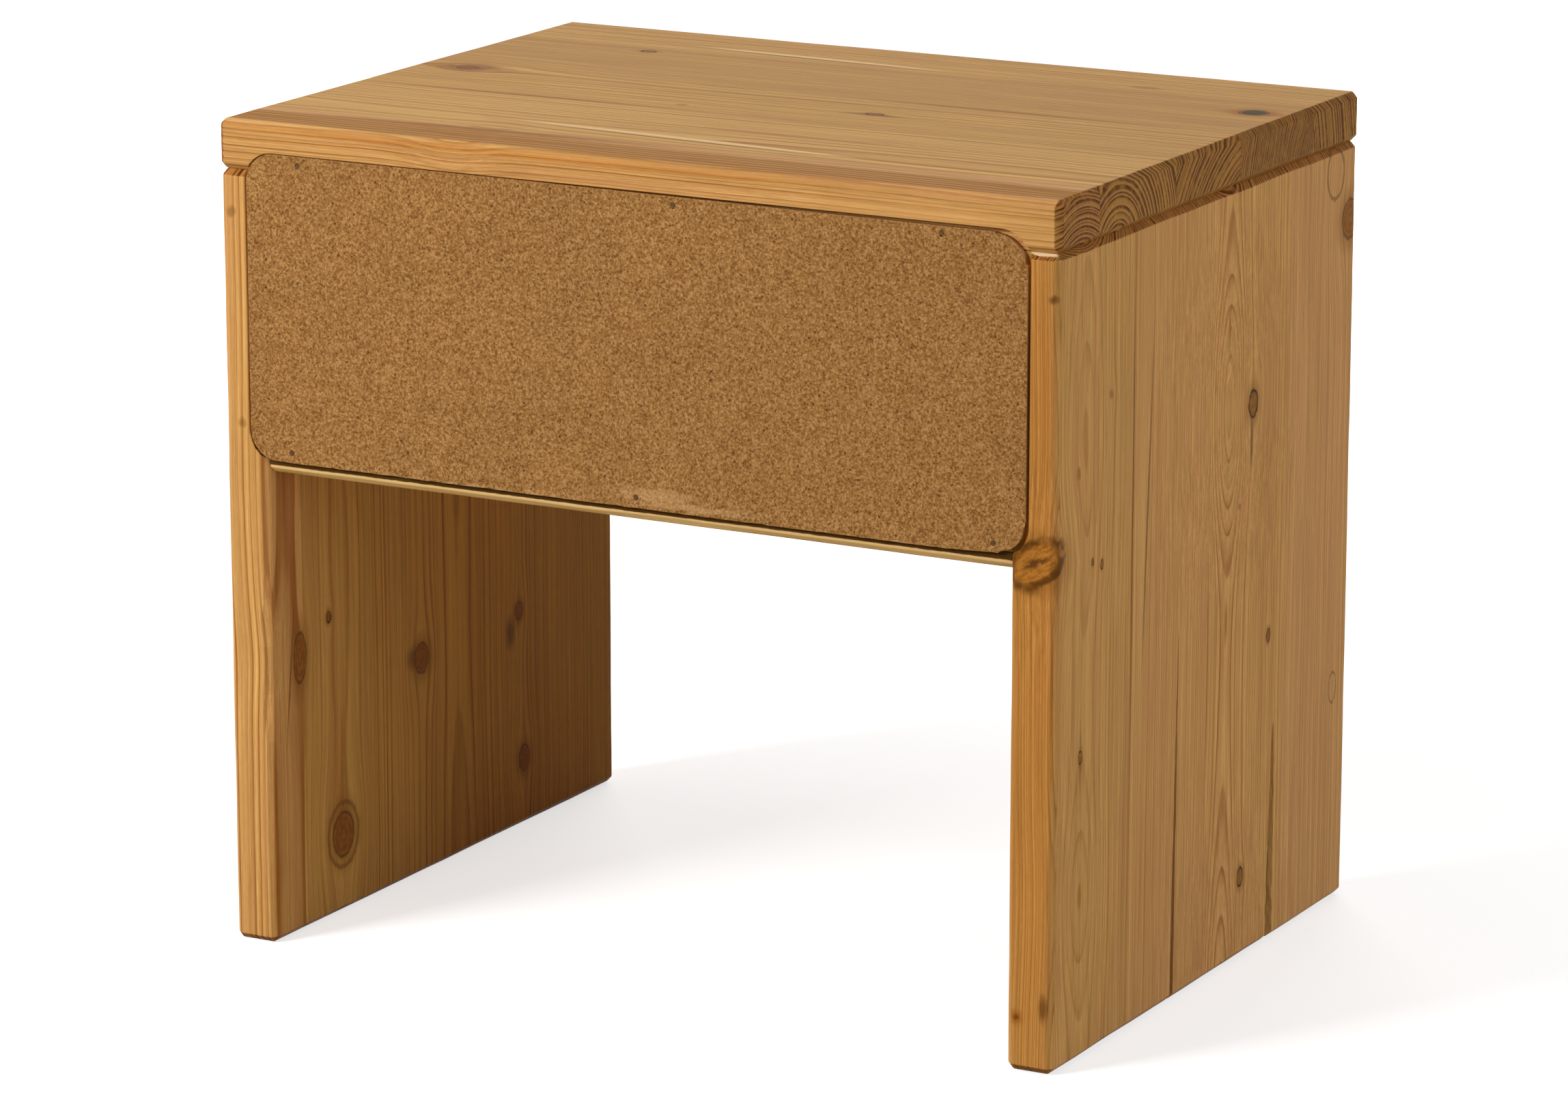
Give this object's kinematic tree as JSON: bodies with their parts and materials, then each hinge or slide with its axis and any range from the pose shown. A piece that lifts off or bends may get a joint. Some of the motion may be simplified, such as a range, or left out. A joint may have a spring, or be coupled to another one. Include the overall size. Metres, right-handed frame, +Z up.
{
  "type": "nightstand",
  "caption": "Open-legged solid pine nightstand with an inset drawer on a shelf, a rear hardboard panel and boards chamfered all round.",
  "frame": {"origin": "on the floor, under the middle of the object's box, with the knob included", "axes": "+X across the nightstand along its longest side, the drawer opens towards -Y, the hardboard back faces +Y, +Z up"},
  "size_m": [0.46, 0.366, 0.42],
  "materials": {
    "pine_board": "oiled edge-glued pine, satin",
    "pine_drawer": "oiled pine, satin",
    "pine_block": "raw sawn pine",
    "pine_knob": "turned and oiled pine",
    "hardboard": "raw brown hardboard, matt",
    "beech_dowel": "raw beech",
    "steel": "plain wire nail, dull"
  },
  "bodies": {
    "cabinet": {"top_board": "pine_board", "left_side_board": "pine_board", "right_side_board": "pine_board", "drawer_shelf": "pine_board", "back_panel": "hardboard", "back_panel_brads": "steel", "top_dowels": "beech_dowel", "shelf_dowels": "beech_dowel", "drawer_stop_blocks": "pine_block", "drawer_stop_brads": "steel"},
    "drawer": {"drawer_front": "pine_drawer", "drawer_left_side": "pine_drawer", "drawer_right_side": "pine_drawer", "drawer_back": "pine_drawer", "drawer_bottom": "hardboard", "drawer_front_dowels": "beech_dowel", "drawer_back_dowels": "beech_dowel", "drawer_bottom_brads": "steel", "drawer_knob": "pine_knob", "drawer_knob_screw": "steel"}
  },
  "joints": [
    {"name": "drawer_slide", "type": "slide", "parent": "cabinet", "child": "drawer", "axis": [0, -1, 0], "range_m": [0, 0.21]}
  ]
}
